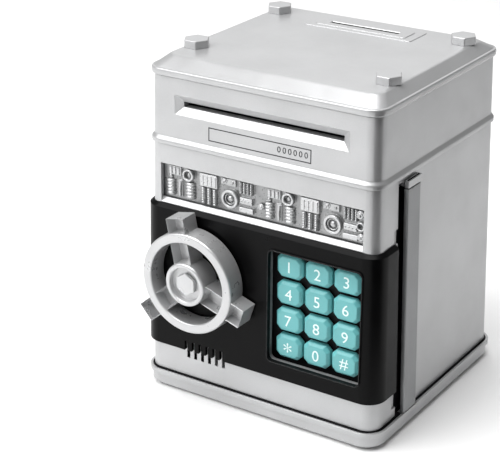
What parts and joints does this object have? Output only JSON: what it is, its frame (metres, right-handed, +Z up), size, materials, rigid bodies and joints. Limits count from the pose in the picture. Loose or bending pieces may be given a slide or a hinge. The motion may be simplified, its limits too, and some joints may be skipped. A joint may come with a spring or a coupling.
{
  "type": "toy atm savings bank",
  "caption": "Silver toy cash-machine money box with a bill slot, a coin slot in its lid, and a hinged black door that carries a keypad and a spoked wheel handle.",
  "frame": {"origin": "middle of the flat underside of the base", "axes": "+Z up, -Y out of the front, where the door, the keypad and the bill slot are, +X to the right as seen from the front"},
  "size_m": [0.145, 0.1503, 0.1882],
  "materials": {
    "silver_shell": "satin silver paint on moulded plastic",
    "silver_bright": "semi-gloss silver paint on moulded plastic",
    "black_plastic": "satin moulded black",
    "hinge_grey": "satin moulded grey",
    "key_aqua": "semi-gloss moulded aqua, with pale printed digits",
    "rubber_black": "matt",
    "circuit_board": "green solder mask",
    "bright_steel": "bright zinc-plated",
    "cell_wrap": "plain printed wrap",
    "white_nylon": "natural nylon"
  },
  "bodies": {
    "casing": {"base_tray": "silver_shell", "base_plate": "silver_shell", "battery_cover": "silver_shell", "battery_cover_screw": "bright_steel", "battery_1": "cell_wrap", "battery_2": "cell_wrap", "battery_3": "cell_wrap", "battery_contact_left": "bright_steel", "battery_contact_right": "bright_steel", "main_housing": "silver_shell", "upper_housing": "silver_shell", "top_lid": "silver_shell", "lid_bolt_front_left": "silver_shell", "lid_bolt_front_right": "silver_shell", "lid_bolt_back_left": "silver_shell", "lid_bolt_back_right": "silver_shell", "bill_slot_bezel": "silver_shell", "feed_platform": "black_plastic", "bill_guide_lower": "black_plastic", "bill_guide_upper": "black_plastic", "bill_deflector": "black_plastic", "feed_motor": "bright_steel", "coin_chute": "black_plastic", "main_board": "circuit_board", "hinge_bracket_top": "silver_shell", "hinge_bracket_bottom": "silver_shell", "latch_strike": "bright_steel"},
    "door": {"door_shell": "silver_shell", "fascia_panel": "black_plastic", "relief_plate": "silver_shell", "keypad_plate": "black_plastic", "keypad_mat": "rubber_black", "keypad_board": "circuit_board", "door_back_cover": "hinge_grey", "speaker": "black_plastic", "lock_solenoid": "bright_steel", "hinge_bar": "hinge_grey", "hinge_leaf": "black_plastic"},
    "wheel": {"wheel_handle": "silver_bright", "wheel_hub_bolt": "silver_bright", "wheel_shaft": "bright_steel", "latch_cam": "bright_steel"},
    "lock": {"lock_plunger": "bright_steel"},
    "feed_shaft": {"feed_axle": "bright_steel", "feed_roller": "rubber_black", "feed_gear": "white_nylon"},
    "motor_shaft": {"motor_pinion": "white_nylon"},
    "pinch": {"pinch_roller": "white_nylon"},
    "key_1_button": {"key_1": "key_aqua"},
    "key_2_button": {"key_2": "key_aqua"},
    "key_3_button": {"key_3": "key_aqua"},
    "key_4_button": {"key_4": "key_aqua"},
    "key_5_button": {"key_5": "key_aqua"},
    "key_6_button": {"key_6": "key_aqua"},
    "key_7_button": {"key_7": "key_aqua"},
    "key_8_button": {"key_8": "key_aqua"},
    "key_9_button": {"key_9": "key_aqua"},
    "key_star_button": {"key_star": "key_aqua"},
    "key_0_button": {"key_0": "key_aqua"},
    "key_hash_button": {"key_hash": "key_aqua"}
  },
  "joints": [
    {"name": "door_hinge", "type": "hinge", "parent": "casing", "child": "door", "pos_m": [0.06931, -0.02695, 0.07], "axis": [-0.0195, 0, 0.9998], "range_deg": [0, 110]},
    {"name": "wheel_turn", "type": "hinge", "parent": "door", "child": "wheel", "pos_m": [-0.034, -0.074, 0.0723], "axis": [0, -1, 0], "range_deg": [0, 90]},
    {"name": "lock_slide", "type": "slide", "parent": "door", "child": "lock", "axis": [-1, 0, 0], "range_m": [0, 0.004]},
    {"name": "feed_turn", "type": "hinge", "parent": "casing", "child": "feed_shaft", "pos_m": [0, -0.033, 0.155], "axis": [1, 0, 0], "continuous": true},
    {"name": "motor_turn", "type": "hinge", "parent": "casing", "child": "motor_shaft", "pos_m": [0, -0.04672, 0.15062], "axis": [1, 0, 0], "continuous": true},
    {"name": "pinch_turn", "type": "hinge", "parent": "casing", "child": "pinch", "pos_m": [0, -0.033, 0.1676], "axis": [1, 0, 0], "continuous": true},
    {"name": "key_1_press", "type": "slide", "parent": "door", "child": "key_1_button", "axis": [0, 1, 0], "range_m": [0, 0.0012], "stiffness_N_per_m": 300},
    {"name": "key_2_press", "type": "slide", "parent": "door", "child": "key_2_button", "axis": [0, 1, 0], "range_m": [0, 0.0012], "stiffness_N_per_m": 300},
    {"name": "key_3_press", "type": "slide", "parent": "door", "child": "key_3_button", "axis": [0, 1, 0], "range_m": [0, 0.0012], "stiffness_N_per_m": 300},
    {"name": "key_4_press", "type": "slide", "parent": "door", "child": "key_4_button", "axis": [0, 1, 0], "range_m": [0, 0.0012], "stiffness_N_per_m": 300},
    {"name": "key_5_press", "type": "slide", "parent": "door", "child": "key_5_button", "axis": [0, 1, 0], "range_m": [0, 0.0012], "stiffness_N_per_m": 300},
    {"name": "key_6_press", "type": "slide", "parent": "door", "child": "key_6_button", "axis": [0, 1, 0], "range_m": [0, 0.0012], "stiffness_N_per_m": 300},
    {"name": "key_7_press", "type": "slide", "parent": "door", "child": "key_7_button", "axis": [0, 1, 0], "range_m": [0, 0.0012], "stiffness_N_per_m": 300},
    {"name": "key_8_press", "type": "slide", "parent": "door", "child": "key_8_button", "axis": [0, 1, 0], "range_m": [0, 0.0012], "stiffness_N_per_m": 300},
    {"name": "key_9_press", "type": "slide", "parent": "door", "child": "key_9_button", "axis": [0, 1, 0], "range_m": [0, 0.0012], "stiffness_N_per_m": 300},
    {"name": "key_star_press", "type": "slide", "parent": "door", "child": "key_star_button", "axis": [0, 1, 0], "range_m": [0, 0.0012], "stiffness_N_per_m": 300},
    {"name": "key_0_press", "type": "slide", "parent": "door", "child": "key_0_button", "axis": [0, 1, 0], "range_m": [0, 0.0012], "stiffness_N_per_m": 300},
    {"name": "key_hash_press", "type": "slide", "parent": "door", "child": "key_hash_button", "axis": [0, 1, 0], "range_m": [0, 0.0012], "stiffness_N_per_m": 300}
  ],
  "couplings": [
    {"joint": "motor_turn", "follows": "feed_turn", "ratio": -2.3333},
    {"joint": "pinch_turn", "follows": "feed_turn", "ratio": -1.0357}
  ]
}
